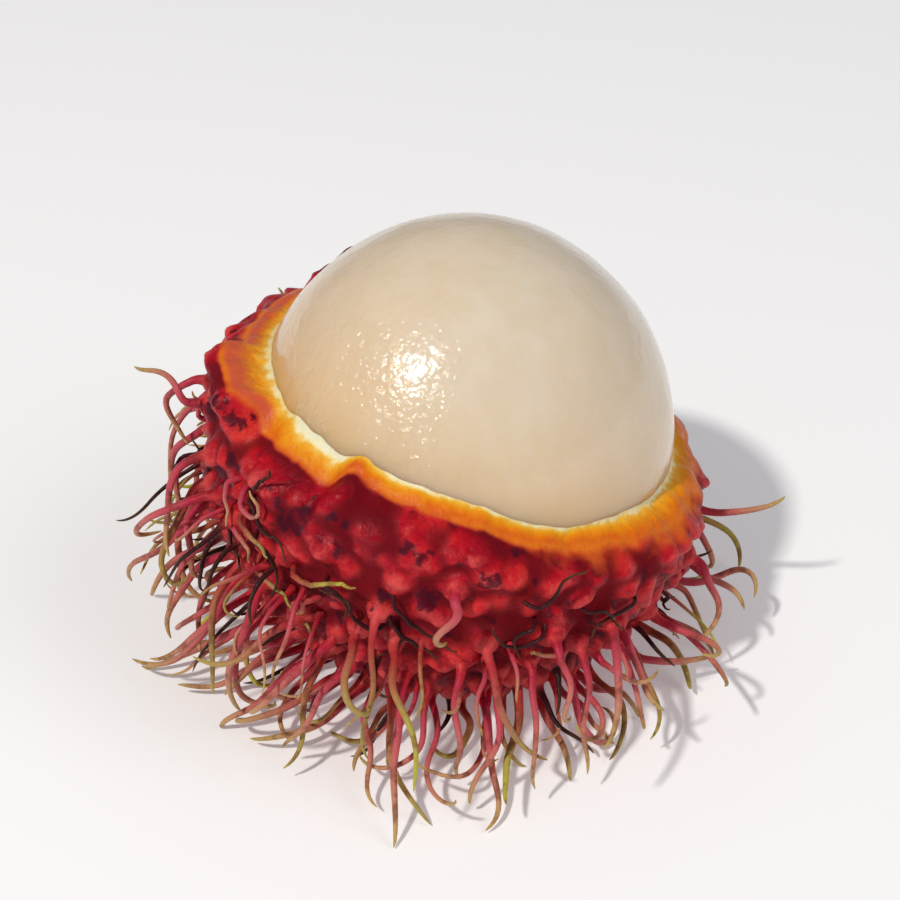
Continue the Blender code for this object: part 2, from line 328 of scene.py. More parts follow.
def pushed_apart(lines, radii):
    """The centrelines after each pair of points of different spines that are too near has moved apart."""
    points = lines.reshape(-1, 3)
    owner = np.repeat(np.arange(len(lines)), lines.shape[1])
    square = (points**2).sum(axis=1)
    apart = square[:, None] + square[None] - 2 * points @ points.T
    near = apart < (2 * radii[1:].max() + SPINE_CLEARANCE) ** 2
    one, other = np.nonzero(np.triu(near & (owner[:, None] != owner[None]), 1))
    offset = points[one] - points[other]
    distance = np.linalg.norm(offset, axis=1) + 1e-9
    thickness = np.tile(radii, len(lines))
    short = thickness[one] + thickness[other] + SPINE_CLEARANCE - distance
    push = offset * (0.5 * np.clip(short, 0, None) / distance)[:, None]
    move = np.zeros_like(points)
    np.add.at(move, one, push)
    np.add.at(move, other, -push)
    return lines + move.reshape(lines.shape)


def settled_spines(lines):
    """The centrelines, clear of each other, the skin and the floor, with their lengths and roots kept."""
    grown = lines
    share = np.linspace(0, 1, SPINE_STEPS + 1)
    radii = radius_along(share)
    free = np.clip(share / STIFF_SHARE, 0, 1)
    step_length = np.linalg.norm(lines[:, 1] - lines[:, 0], axis=1)[:, None]
    skin_scale = SKIN_SEMI_AXES.min()
    for _ in range(SETTLING_ROUNDS):
        lines = pushed_apart(lines, radii)

        shift = lines - grown
        shift[:, 1:-1] += STIFFNESS * (shift[:, 2:] - 2 * shift[:, 1:-1] + shift[:, :-2])
        lines = grown + shift * free[None, :, None]

        outside = np.linalg.norm(to_directions(lines), axis=2)
        lift = np.clip(1 + SKIN_CLEARANCE * free / skin_scale - outside, 0, None) * skin_scale
        lines = lines + unit(lines - CENTRE) * lift[:, :, None]
        lines[:, 1:, 2] = np.maximum(lines[:, 1:, 2], (radii + SPINE_CLEARANCE)[None, 1:])

        way = unit(lines[:, 1] - lines[:, 0])
        for step in range(SPINE_STEPS):
            way = turned_towards(way, unit(lines[:, step + 1] - lines[:, step]))
            lines[:, step + 1] = lines[:, step] + way * step_length
    return lines


# The skin's relief and the torn edge of the cut.


def smoothstep(low, high, value):
    """0 below low, 1 above high, and smooth between."""
    share = np.clip((value - low) / (high - low), 0, 1)
    return share * share * (3 - 2 * share)


def window(low, high, soft, value):
    """1 between low and high and 0 away from them, smooth over soft at each end."""
    return smoothstep(low - soft, low, value) * (1 - smoothstep(high, high + soft, value))


def noise_at(places, wavelength, seed=0.0):
    """Smooth noise, about -1 to 1, at places in metres."""
    offset = Vector((seed, 1.7 * seed, 0.0))
    return np.array([noise.noise(Vector(place) + offset) for place in places / wavelength])


def tree_of(places):
    """A tree that finds the nearest of these places."""
    tree = kdtree.KDTree(len(places))
    for index, place in enumerate(places):
        tree.insert(place, index)
    tree.balance()
    return tree


def distances(places, roots):
    """How far each place is from the nearest root."""
    tree = tree_of(on_body(roots))
    return np.array([tree.find(place)[2] for place in places])


def azimuth_round_cut(places):
    """Angles of places round the cut's middle, in degrees. 0 is at -Y, and +X is at 90."""
    first, second = side_axes(CUT_NORMAL)
    return np.degrees(np.arctan2((places - CENTRE) @ second, (places - CENTRE) @ first))


def tab_at(azimuth):
    """1 on the small tab of rind that stands up beside the tear, 0 away from it."""
    return np.exp(-(((azimuth - TAB_AT) / TAB_WIDTH) ** 2))


def torn_at(azimuth):
    """1 where the cut's edge is torn down to its pale lining, and under 0 where least of the lining shows."""
    torn = np.maximum(window(*LINING_SHOWN, 5, azimuth), 0.6 * window(*LINING_PARTLY_SHOWN, 3, azimuth))
    return torn - 0.2 * window(*LINING_HIDDEN, 8, azimuth) - 0.7 * tab_at(azimuth)


def lobe_at(azimuth):
    """1 on the lobe of rind that stands out beside the tear."""
    return window(*LOBE, 5, azimuth)


def shred_at(azimuth):
    """1 on the shred of rind that stands up against the flesh at the back."""
    turn = np.radians(azimuth)
    ragged = 0.82 + 0.10 * np.sin(19 * turn + 0.5) + 0.12 * np.sin(47 * turn)
    return window(*SHRED, 8, azimuth) * ragged


def flare_at(azimuth):
    """How far the cut's edge stands out from the body, as a share of the lobe's reach."""
    return lobe_at(azimuth) + 0.5 * shred_at(azimuth)


def lip_start(azimuth):
    """The share of the wall that the skin's rounded edge takes. The cut's face is narrowest at the front."""
    narrow = 0.34 * window(*FACE_NARROW_FRONT, 24, azimuth) + 0.22 * window(*FACE_NARROW_LEFT, 5, azimuth)
    return LIP_START + narrow - 0.06 * window(*FACE_BROAD, 25, azimuth)


def edge_height(azimuth, share):
    """How far the cut's face is above its plane. Share 0 is its outer edge, 1 where it touches the flesh."""
    turn = np.radians(azimuth)
    wave = 0.25 * np.sin(2 * turn + 0.7) + 0.13 * np.sin(5 * turn + 2.1) + 0.09 * np.sin(11 * turn)
    wave += HIGH_FRONT_RISE * window(*HIGH_FRONT, 25, azimuth)
    fine = 0.09 * np.sin(23 * turn + 1.0) + 0.06 * np.sin(41 * turn + 0.4) + 0.04 * np.sin(67 * turn)
    torn = window(*TEAR, 5, azimuth)
    tab, shred = tab_at(azimuth), shred_at(azimuth)
    outer_edge = wave + fine - TEAR_DEPTH * torn + LOBE_RISE * lobe_at(azimuth)
    outer_edge = outer_edge + TAB_RISE * tab + SHRED_RISE * shred
    inner_edge = wave + 0.4 * fine - 0.25 * torn + 0.1 * torn * np.sin(37 * turn) + 0.4 * tab + 1.9 * shred
    return ((1 - share) * outer_edge + share * inner_edge) * MM


def outward_at_cut(places):
    """Unit vectors in the cut's plane, away from its middle."""
    offset = places - CENTRE
    return unit(offset - (offset @ CUT_NORMAL)[:, None] * CUT_NORMAL)


def round_about(turn, first, second):
    """Unit vectors at each turn from first towards second."""
    return np.cos(turn)[:, None] * first + np.sin(turn)[:, None] * second


def ring_at(semi_axes, turn, height):
    """Places round an ellipsoid, at those turns and heights over the cut's plane."""
    axis, reach = support(semi_axes, CUT_NORMAL)
    cosine = (CUT_ABOVE_CENTRE + height)[:, None] / reach
    around = round_about(turn, *side_axes(axis))
    return on_body(cosine * axis + np.sqrt(1 - cosine**2) * around, semi_axes)


def cut_ring(share=None, rise=0.0):
    """Places of a ring of the cut's face and their azimuths. Without a share, it is on the skin itself."""
    azimuth = np.arange(RIM_SIDES) * 360 / RIM_SIDES
    azimuth = np.where(azimuth > 180, azimuth - 360, azimuth)
    height = edge_height(azimuth, share or 0) + rise
    outer = ring_at(SKIN_SEMI_AXES, np.radians(azimuth), height)
    if share is None:
        return outer, azimuth
    inner = ring_at(SKIN_SEMI_AXES - WALL, np.radians(azimuth), height)
    through = lip_start(azimuth) * (1 - share) + LIP_END * share
    return outer + (inner - outer) * through[:, None], azimuth


def below_edge(places):
    """How far places are below the cut's outer edge, square to its plane."""
    return edge_height(azimuth_round_cut(places), 0.0) + below_cut(places)


def spine_tones(count):
    """A number from 0 to 1 for each spine, which sets its colour and that of the lump it grows from."""
    return np.random.default_rng(SEED + 8).uniform(0, 1, count)


def lump_centres(roots):
    """Directions of the skin's lumps: one under each spine, and bare ones between."""
    random = np.random.default_rng(SEED + 5)
    extra = spiral(LUMPS_ON_WHOLE_FRUIT)
    extra = unit(extra + random.normal(0, 0.035, extra.shape))
    return np.concatenate([roots, extra[distances(on_body(extra), roots) > LUMP_SPACING]])


def skin_relief(directions, roots):
    """Where the skin's points lie once it has its bumps, and the shares that colour them."""
    random = np.random.default_rng(SEED + 6)
    smooth = on_body(directions)
    centres = lump_centres(roots)
    size = random.uniform(*BARE_LUMP_SIZE, len(centres))
    size[: len(roots)] = SPINE_LUMP_SIZE
    girth = random.uniform(*LUMP_GIRTH, len(centres)) * MM
    tint = random.uniform(0, 1, len(centres))
    tint[: len(roots)] = spine_tones(len(roots))
    sway = np.stack([noise_at(smooth, 1.9 * MM, seed) for seed in (3.1, 9.7, 17.3)], axis=1)
    tree = tree_of(on_body(centres))
    found = [tree.find_n(place, LUMPS_MIXED) for place in smooth + LUMP_SWAY * sway]
    away = np.array([[hit[2] for hit in hits] for hits in found])
    near = np.array([[hit[1] for hit in hits] for hits in found])
    below = below_edge(smooth)

    # Each lump is a dome, and the domes run together smoothly.
    domes = (size[near] * np.exp(-((away / girth[near]) ** 2))) ** 3
    together = domes.sum(axis=1)
    dome = np.cbrt(together)
    tone = (domes * tint[near]).sum(axis=1) / together
    height = LUMP_HEIGHT * dome + 0.18 * noise_at(smooth, 3.4 * MM) + 0.10 * noise_at(smooth, 1.0 * MM, 5.0)
    cone = 1 - smoothstep(*CONE_WIDTH, distances(smooth, roots))
    height = height * (1 - cone) + CONE_HEIGHT * cone
    height *= smoothstep(-0.9 * MM, 2.2 * MM, below)
    azimuth = azimuth_round_cut(smooth)
    inset = WALL * lip_start(azimuth) * np.clip(1 - below / EDGE_ROUND, 0, 1) ** 2
    flare = flare_at(azimuth) * np.exp(-((below / (2.4 * MM)) ** 2))

    places = smooth + normals_at(directions) * (height * MM - inset)[:, None]
    places += outward_at_cut(smooth) * (LOBE_REACH * flare)[:, None]
    places[:, 2] = np.maximum(places[:, 2], 0)

    # The redder the edge, the narrower its orange border.
    redder = 0.12 + 0.30 * (1 - window(*ORANGE_BROAD, 25, azimuth))
    redder = redder + 0.28 * window(*ORANGE_NARROW, 14, azimuth) - 0.12 * window(*ORANGE_FADING, 12, azimuth)
    shares = {
        "lump": height,
        "furrow": np.clip(1 - dome / 0.55, 0, 1),
        "tone": tone,
        "edge": np.clip(1 - below / ORANGE_BORDER, 0, 1) - redder * smoothstep(-0.2 * MM, 0.5 * MM, below),
        "torn": torn_at(azimuth),
    }
    return places, shares


class Growth:
    """The rind's points, faces and shares, while it is built."""

    def __init__(self):
        self.points = []
        self.tables = []
        self.faces = []
        self.count = 0

    def add(self, points, **shares):
        """Adds points with their shares, each one number or one per point, and gives back their indices."""
        points = np.asarray(points).reshape(-1, 3)
        table = np.zeros((len(points), len(SHARES)), np.float32)
        for name, value in shares.items():
            table[:, SHARES.index(name)] = value
        self.points.append(points)
        self.tables.append(table)
        self.count += len(points)
        return np.arange(self.count - len(points), self.count)

    def bridge(self, outer, inner):
        """Adds faces between two closed rings with equal numbers of points."""
        self.faces += np.stack([np.roll(outer, 1), outer, inner, np.roll(inner, 1)], axis=1).tolist()

    def close(self, ring, middle):
        """Adds a fan of faces between a ring and one point."""
        self.faces += [[ring[i - 1], ring[i], middle] for i in range(len(ring))]

    def mesh(self, name):
        """A mesh of everything that was added."""
        made = bpy.data.meshes.new(name)
        made.from_pydata(np.concatenate(self.points).tolist(), [], self.faces)
        turned_out = bmesh.new()
        turned_out.from_mesh(made)
        bmesh.ops.recalc_face_normals(turned_out, faces=turned_out.faces[:])
        turned_out.to_mesh(made)
        turned_out.free()
        table = np.concatenate(self.tables)
        for column, share in enumerate(SHARES):
            layer = made.attributes.new(share, "FLOAT", "POINT")
            layer.data.foreach_set("value", np.ascontiguousarray(table[:, column]))
        return made


def circles(first, second):
    """Unit vectors round each pair of side axes, as pairs by SOCKET_SIDES by 3."""
    angle = np.arange(SOCKET_SIDES) * 2 * math.pi / SOCKET_SIDES
    return np.cos(angle)[None, :, None] * first[:, None] + np.sin(angle)[None, :, None] * second[:, None]


def sockets_of(roots):
    """Directions of a ring of skin points round each root, as roots by sides by 3, and their side axes."""
    outward = normals_at(roots)
    first = unit(np.cross(outward, UP))
    around = circles(first, np.cross(outward, first))
    return unit(to_directions(on_body(roots)[:, None] + SOCKET_RADIUS * around)), first


def grow_skin(growth, roots):
    """The skin between the sockets. Gives back indices of their rings and the cut's edge, and the places."""
    edge = unit(to_directions(cut_ring()[0]))
    sockets = sockets_of(roots)[0].reshape(-1, 3)
    body_area = 4 * math.pi * np.prod(SKIN_SEMI_AXES) ** (2 / 3)
    lattice = spiral(round(body_area / (0.866 * SKIN_SPACING**2)))
    loose = lattice[distances(on_body(lattice), roots) > SOCKET_RADIUS + 0.65 * SKIN_SPACING]
    loose = loose[below_edge(on_body(loose)) > 0.5 * SKIN_SPACING]
    directions = np.concatenate([edge, sockets, loose])

    axis, _ = support(SKIN_SEMI_AXES, CUT_NORMAL)
    across, up = side_axes(axis)
    flattened = np.stack([directions @ across, directions @ up], axis=1) / (1 - directions @ axis)[:, None]
    first_loose = RIM_SIDES + len(sockets)
    loops = [range(start, start + SOCKET_SIDES) for start in range(RIM_SIDES, first_loose, SOCKET_SIDES)]
    edges = [(loop[i - 1], loop[i]) for loop in [range(RIM_SIDES), *loops] for i in range(len(loop))]
    found = delaunay_2d_cdt([tuple(point) for point in flattened], edges, [], 1, 1e-9)
    triangles = np.array(found[2])
    socket_of = np.full(len(directions), -1)
    socket_of[RIM_SIDES:first_loose] = np.repeat(np.arange(len(roots)), SOCKET_SIDES)
    corners = socket_of[triangles]
    inside = (corners[:, 0] >= 0) & (corners[:, 0] == corners[:, 1]) & (corners[:, 1] == corners[:, 2])

    places, shares = skin_relief(directions, roots)
    indices = growth.add(places, **shares)
    growth.faces += indices[triangles[~inside]].tolist()
    rings = indices[RIM_SIDES:first_loose].reshape(len(roots), SOCKET_SIDES)
    return rings, indices[:RIM_SIDES], places


def grow_lip(growth, edge):
    """The cut's face from the skin's edge to the flesh, and the cup's inside."""
    outer = edge
    for share, rise in LIP_PROFILE:
        places, azimuth = cut_ring(share, rise * MM)
        rough = 0.10 * noise_at(places, 0.6 * MM, 2.0) + 0.13 * noise_at(places, 1.7 * MM, 4.0)
        out = 0.10 * MM * noise_at(places, 0.9 * MM, 7.0) + LOBE_REACH * flare_at(azimuth)
        places = places + CUT_NORMAL * (rough * MM * math.sin(math.pi * share))[:, None]
        places = places + outward_at_cut(places) * (out * (1 - share))[:, None]
        rosy = window(*ROSY, 6, azimuth)
        ring = growth.add(places, lip=share, edge=1.0, torn=torn_at(azimuth), rosy=rosy)
        growth.bridge(outer, ring)
        outer = ring
    inside = SKIN_SEMI_AXES - WALL
    axis, reach = support(inside, CUT_NORMAL)
    around = round_about(np.arange(RIM_SIDES) * 2 * math.pi / RIM_SIDES, *side_axes(axis))
    start = math.acos((CUT_ABOVE_CENTRE - 1.5 * MM) / reach)
    for polar in np.linspace(start, math.pi, CAVITY_RINGS + 1)[:-1]:
        places = on_body(math.cos(polar) * axis + math.sin(polar) * around, inside)
        ring = growth.add(places, lip=1.0, edge=1.0)
        growth.bridge(outer, ring)
        outer = ring
    middle = growth.add(on_body(-axis, inside), lip=1.0, edge=1.0)
    growth.close(outer, middle[0])


def curve_through(lines, share):
    """Places at shares of the centrelines, as spines by shares by 3, on smooth curves through the points."""
    first = 2 * lines[:, :1] - lines[:, 1:2]
    last = 2 * lines[:, -1:] - lines[:, -2:-1]
    padded = np.concatenate([first, lines, last], axis=1)
    position = share * SPINE_STEPS
    start = np.clip(position.astype(int), 0, SPINE_STEPS - 1)
    part = (position - start)[..., None]
    spine = np.arange(len(lines))[:, None]
    before, here, after, beyond = [padded[spine, start + i] for i in range(4)]
    curve = 2 * here + (after - before) * part
    curve += (2 * before - 5 * here + 4 * after - beyond) * part**2
    curve += (3 * here - before - 3 * after + beyond) * part**3
    return curve / 2


def grow_tubes(growth, outer, places, way, radius, side, **shares):
    """Tubes along centrelines, each bridged from its outer ring or closed there, and closed at its tip."""
    count, steps = radius.shape
    shares = {name: np.broadcast_to(value, radius.shape) for name, value in shares.items()}
    for step in range(steps):
        side = unit(side - (side * way[:, step]).sum(axis=1, keepdims=True) * way[:, step])
        around = circles(side, np.cross(way[:, step], side))
        ring = places[:, step, None] + radius[:, step, None, None] * around
        here = {name: np.repeat(value[:, step], SOCKET_SIDES) for name, value in shares.items()}
        inner = growth.add(ring, **here).reshape(count, SOCKET_SIDES)
        if outer is None:
            middles = growth.add(places[:, 0], **{name: value[:, 0] for name, value in shares.items()})
            for tube in range(count):
                growth.close(inner[tube][::-1], middles[tube])
        else:
            for tube in range(count):
                growth.bridge(outer[tube], inner[tube])
        outer = inner
    ends = {name: value[:, -1] for name, value in shares.items()}
    tips = growth.add(places[:, -1] + way[:, -1] * 0.06 * MM, **ends)
    for tube in range(count):
        growth.close(outer[tube], tips[tube])


def ways_along(places):
    """Unit directions of centrelines at each of their points."""
    return unit(np.gradient(places, axis=1))


def waved_and_hooked(random, places, share, lines):
    """The centrelines with slow waves along them and hooks at their tips."""
    count = len(lines)
    chord = unit(lines[:, -1] - lines[:, 0])
    across = unit(np.cross(chord, random.normal(0, 1, (count, 3))))
    athwart = np.cross(chord, across)
    strength = random.uniform(0.15, 0.6, (2, count)) * MM
    turns = random.uniform(0.7, 1.5, (2, count))
    phase = random.uniform(0, 2 * math.pi, (2, count))
    for one, axes in enumerate((across, athwart)):
        swing = np.sin(2 * math.pi * turns[one][:, None] * share + phase[one][:, None])
        swing = strength[one][:, None] * swing * smoothstep(0.1, 0.5, share)
        places = places + swing[:, :, None] * axes[:, None]
    hook = random.uniform(*HOOK_TURN, count)
    steps = np.diff(places, axis=1)
    axes = unit(np.cross(steps[:, -6], random.normal(0, 1, (count, 3))))
    for step in range(steps.shape[1]):
        curl = hook * max(0, (step / steps.shape[1] - HOOK_START) / (1 - HOOK_START)) ** 1.2
        steps[:, step] = turned(steps[:, step], axes, curl)
    places[:, 1:] = places[:, :1] + np.cumsum(steps, axis=1)
    places[:, :, 2] = np.maximum(places[:, :, 2], LOWEST_CENTRELINE)
    return places


def grow_spines(growth, roots, rings, skin_places):
    """Spines from their sockets' rings in the skin to their hooked tips, or without rings, fine spines."""
    fine = rings is None
    random = np.random.default_rng(SEED + (4 if fine else 2))
    count = len(roots)
    outward = normals_at(roots)
    lines = settled_spines(grown_spines(roots))
    length = np.linalg.norm(lines[:, 1] - lines[:, 0], axis=1) * SPINE_STEPS
    dry = (random.uniform(0, 1, count) < DRY_SPINES).astype(float)
    reach = np.where(dry > 0, random.uniform(*DRY_REACH, count), 1.0)
    girth = random.uniform(*SPINE_GIRTH, count) * (1 - DRY_IS_THINNER_BY * dry)
    if fine:
        reach = random.uniform(*FINE_REACH, count)
        girth = random.uniform(*FINE_GIRTH, count)
    tone = spine_tones(count)

    foot = on_body(roots) + outward * 0.15 * MM if fine else skin_places[rings].mean(axis=1)
    start = ((foot - on_body(roots)) * outward).sum(axis=1) / length
    even = np.linspace(0, 1, FINE_SPINE_RINGS if fine else SPINE_RINGS) ** 1.12
    share = start[:, None] + (reach - start)[:, None] * even[None]
    arc = (share - start[:, None]) * length[:, None]
    places = waved_and_hooked(random, curve_through(lines, share), share, lines)

    # The first stretch rises square to the skin, out of the socket.
    joined = smoothstep(0, 1.5 * MM, arc)[:, :, None]
    rising = foot[:, None] + outward[:, None] * arc[:, :, None]
    places = rising * (1 - joined) + places * joined
    way = unit(outward[:, None] * (1 - joined) + ways_along(places) * joined)

    taper = np.interp(even, *zip(*SPINE_TAPER, strict=True))
    radius = taper[None] * MM * girth[:, None]
    radius += (SOCKET_RADIUS - radius[:, :1]) * np.exp(-(arc + 0.05 * MM) / (0.6 * MM))
    places = places + outward[:, None] * 0.06 * MM
    shares = {"strand": np.clip(share / reach[:, None], 0.02, 1), "dry": dry[:, None], "tone": tone[:, None]}
    grow_tubes(growth, rings, places, way, radius, sockets_of(roots)[1], lump=CONE_HEIGHT, **shares)


def fine_roots(roots):
    """Directions of the fine spines' roots, low on the fruit between the other roots."""
    random = np.random.default_rng(SEED + 7)
    free = spiral(FINE_ROOTS_ON_WHOLE_FRUIT)
    places = on_body(free)
    low = (below_cut(places) > FINE_ROOT_BELOW_CUT) & (places[:, 2] > 2 * ROOT_ABOVE_FLOOR)
    free = free[low & (distances(places, roots) > FINE_ROOT_TO_ROOT)]
    return free[random.permutation(len(free))[:FINE_SPINES]]


def grow_hairs(growth):
    """Dry broken spines that lie on the skin under the cut."""
    random = np.random.default_rng(SEED + 3)
    count, steps = HAIRS, HAIR_RINGS
    azimuth = np.radians(random.uniform(-180, 180, count))
    around = round_about(azimuth, *side_axes(CUT_NORMAL))
    depth = random.uniform(*HAIR_BELOW_CUT, count) * MM
    place = CENTRE + around * HAIR_FROM_CENTRE - CUT_NORMAL * depth[:, None]
    length = random.uniform(*HAIR_LENGTH, count) * MM
    down = random.uniform(-0.2, 1.0, count)
    sideways = random.choice([-1.0, 1.0], count)
    heading = np.cross(around, CUT_NORMAL) * sideways[:, None] - CUT_NORMAL * down[:, None]
    bends = random.normal(0, 0.34, (steps, count))
    points = []
    for step in range(steps):
        direction = unit(to_directions(place))
        outward = normals_at(direction)
        share = step / (steps - 1)
        lift = -0.5 + 1.75 * smoothstep(0.0, 0.22, share) + 0.7 * smoothstep(0.75, 1.0, share)
        points.append(on_body(direction) + outward * lift * MM)
        heading = unit(heading - (heading * outward).sum(axis=1, keepdims=True) * outward)
        heading = turned(heading, outward, bends[step])
        place = on_body(direction) + heading * (length / steps)[:, None]
    places = np.stack(points, axis=1)
    dry = (random.uniform(0, 1, count) < DRY_HAIRS).astype(float)
    tone = random.uniform(0, 1, count)
    share = np.linspace(0, 1, steps)
    radius = np.interp(share, *zip(*HAIR_TAPER, strict=True))[None] * MM * (1 - 0.25 * dry)[:, None]
    way = ways_along(places)
    side = unit(np.cross(way[:, 0], CUT_NORMAL + 0.1))
    shares = {"strand": 0.12 + 0.8 * share, "dry": dry[:, None], "tone": tone[:, None]}
    grow_tubes(growth, None, places, way, radius, side, **shares)


# Materials.

# Painted highlight: the pale pink that the lumps' tops are mixed towards.
PAINTED_LUMP_HIGHLIGHT = (0.72, 0.085, 0.085)
# Painted shade: the dark maroon laid in the furrows between the lumps.
PAINTED_FURROW_SHADE = (0.12, 0.0005, 0.005)
# Painted glints: pale pink flecks on the raised lumps.
PAINTED_GLINT_FLECKS = (0.72, 0.075, 0.070)
DARK_FLECKS = (0.17, 0.001, 0.010)
SPOTS = (0.050, 0.001, 0.012)
RED_BORDER = (0.66, 0.075, 0.018)
ORANGE_EDGE = (0.78, 0.19, 0.012)
ROSY_FACE = (0.62, 0.10, 0.055)
YELLOW_TIP = (0.50, 0.50, 0.070)
BROWN_STEM = (0.17, 0.035, 0.022)


class Shader:
    """A Principled material, and short ways to add the nodes that colour it."""

    def __init__(self, name, **uniform):
        self.material = bpy.data.materials.new(name)
        self.material.use_nodes = True
        self.tree = self.material.node_tree
        self.principled = self.tree.nodes["Principled BSDF"]
        self.feed(self.principled, **uniform)

    def node(self, kind, **settings):
        """A new node with its settings."""
        made = self.tree.nodes.new(kind)
        for name, value in settings.items():
            setattr(made, name, value)
        return made

    def plug(self, socket, value):
        """Sets a socket to a number or a colour, or links it to another socket."""
        if isinstance(value, bpy.types.NodeSocket):
            self.tree.links.new(value, socket)
        elif isinstance(value, tuple):
            socket.default_value = (*value, 1.0)[: len(socket.default_value)]
        else:
            socket.default_value = value

    def feed(self, node, **values):
        """Plugs values into a node's inputs. An underscore in a name stands for a space."""
        for name, value in values.items():
            self.plug(node.inputs[name.replace("_", " ")], value)

    def share(self, name):
        """A share that the mesh's points carry."""
        return self.node("ShaderNodeAttribute", attribute_name=name).outputs["Fac"]

    def noise(self, size, detail=2.0, rough=0.5, distortion=0.0, stretch=None):
        """Noise, 0 to 1, with features of that size in metres, longer along axes whose stretch is small."""
        made = self.node("ShaderNodeTexNoise")
        coordinates = self.node("ShaderNodeTexCoord").outputs["Object"]
        if stretch:
            scaled = self.node("ShaderNodeVectorMath", operation="MULTIPLY")
            self.plug(scaled.inputs[0], coordinates)
            scaled.inputs[1].default_value = stretch
            coordinates = scaled.outputs[0]
        self.feed(made, Vector=coordinates, Scale=1 / size)
        self.feed(made, Detail=detail, Roughness=rough, Distortion=distortion)
        return made.outputs["Fac"]

    def math(self, operation, first, second=0.0, third=0.0):
        """What a math node makes of up to three values."""
        made = self.node("ShaderNodeMath", operation=operation)
        for socket, value in zip(made.inputs, (first, second, third), strict=True):
            self.plug(socket, value)
        return made.outputs[0]

    def spread(self, value, low, high, to_low=0.0, to_high=1.0):
        """The value, taken smoothly from one range to another."""
        made = self.node("ShaderNodeMapRange", interpolation_type="SMOOTHSTEP")
        self.feed(made, Value=value, From_Min=low, From_Max=high, To_Min=to_low, To_Max=to_high)
        return made.outputs["Result"]

    def mix(self, share, first, second):
        """A mix of two colours."""
        made = self.node("ShaderNodeMix", data_type="RGBA")
        colours = [socket for socket in made.inputs if socket.type == "RGBA"]
        self.plug(made.inputs["Factor"], share)
        self.plug(colours[0], first)
        self.plug(colours[1], second)
        return [socket for socket in made.outputs if socket.type == "RGBA"][0]

    def ramp(self, share, *stops):
        """A colour that runs through stops, each a place and a colour."""
        made = self.node("ShaderNodeValToRGB")
        elements = made.color_ramp.elements
        while len(elements) < len(stops):
            elements.new(0.5)
        for element, (place, colour) in zip(elements, stops, strict=True):
            element.position = place
            element.color = (*colour, 1.0)
        self.plug(made.inputs["Fac"], share)
        return made.outputs["Color"]

    def bump(self, height, distance, strength=1.0, normal=None):
        """A normal tilted by a height, on top of another normal if there is one."""
        made = self.node("ShaderNodeBump")
        self.feed(made, Height=height, Distance=distance, Strength=strength)
        if normal is not None:
            self.plug(made.inputs["Normal"], normal)
        return made.outputs["Normal"]


def skin_colour(shader):
    """Crimson skin with scarlet patches, a painted highlight and glints on the lumps, painted maroon shade in
    the furrows, dark flecks and dark spots.
    """
    lump, furrow, tone = shader.share("lump"), shader.share("furrow"), shader.share("tone")
    patches = shader.noise(6 * MM, detail=4.0, rough=0.65)
    skin = shader.ramp(
        patches,
        (0.34, (0.24, 0.001, 0.010)),
        (0.46, (0.39, 0.002, 0.014)),
        (0.56, (0.53, 0.007, 0.018)),
        (0.70, (0.66, 0.030, 0.024)),
    )
    # Painted highlight on the lumps: the higher the lump, the more pale pink, most on lumps of high tone.
    raised = shader.spread(lump, 0.40, 1.45)
    lump_highlight = shader.math("MULTIPLY", raised, shader.spread(tone, 0.1, 0.9, 0.2, 0.95))
    skin = shader.mix(lump_highlight, skin, PAINTED_LUMP_HIGHLIGHT)
    # Painted shade in the furrows between the lumps.
    skin = shader.mix(shader.spread(furrow, 0.05, 0.85, 0.0, 0.85), skin, PAINTED_FURROW_SHADE)
    flecks = shader.noise(1.1 * MM, detail=3.0, rough=0.6)
    # Painted glints: pale pink flecks, only where the skin is raised into lumps.
    glint_flecks = shader.spread(flecks, 0.50, 0.66, 0.0, 0.6)
    glint_flecks = shader.math("MULTIPLY", glint_flecks, shader.spread(lump, 0.2, 0.9))
    skin = shader.mix(glint_flecks, skin, PAINTED_GLINT_FLECKS)
    skin = shader.mix(shader.spread(flecks, 0.34, 0.48, 0.5, 0.0), skin, DARK_FLECKS)
    spots = shader.spread(shader.noise(2.5 * MM, detail=4.0, rough=0.6), 0.56, 0.64, 0.0, 0.85)
    return shader.mix(spots, skin, SPOTS)


def cut_colour(shader, skin):
    """The skin with an orange edge, and the cut's face from orange to its cream lining."""
    edge, lip, torn = shader.share("edge"), shader.share("lip"), shader.share("torn")
    uneven = shader.spread(shader.noise(2.4 * MM, detail=2.0), 0.3, 0.7, -0.16, 0.12)
    near_edge = shader.math("ADD", edge, uneven)
    skin = shader.mix(shader.spread(near_edge, 0.42, 0.80, 0.0, 0.8), skin, RED_BORDER)
    skin = shader.mix(shader.spread(near_edge, 0.60, 1.0), skin, ORANGE_EDGE)
    mottled = shader.spread(shader.noise(0.9 * MM, detail=2.0), 0.3, 0.7, -0.06, 0.06)
    along = shader.math("MULTIPLY_ADD", lip, 0.8, shader.math("ADD", mottled, 0.2))
    along = shader.math("MULTIPLY_ADD", torn, 0.20, along)
    cut = shader.ramp(
        along,
        (0.10, (0.70, 0.11, 0.014)),
        (0.24, (0.75, 0.15, 0.008)),
        (0.44, (0.82, 0.24, 0.006)),
        (0.68, (0.88, 0.36, 0.012)),
        (0.84, (0.92, 0.50, 0.060)),
        (0.91, (0.97, 0.74, 0.320)),
        (1.0, (0.98, 0.87, 0.600)),
    )
    outer = shader.spread(shader.math("ADD", lip, mottled), 0.20, 0.72, 0.85, 0.0)
    rosy = shader.math("MULTIPLY", shader.share("rosy"), outer)
    cut = shader.mix(rosy, cut, ROSY_FACE)
    return shader.mix(shader.spread(lip, 0.0, 0.10), skin, cut)


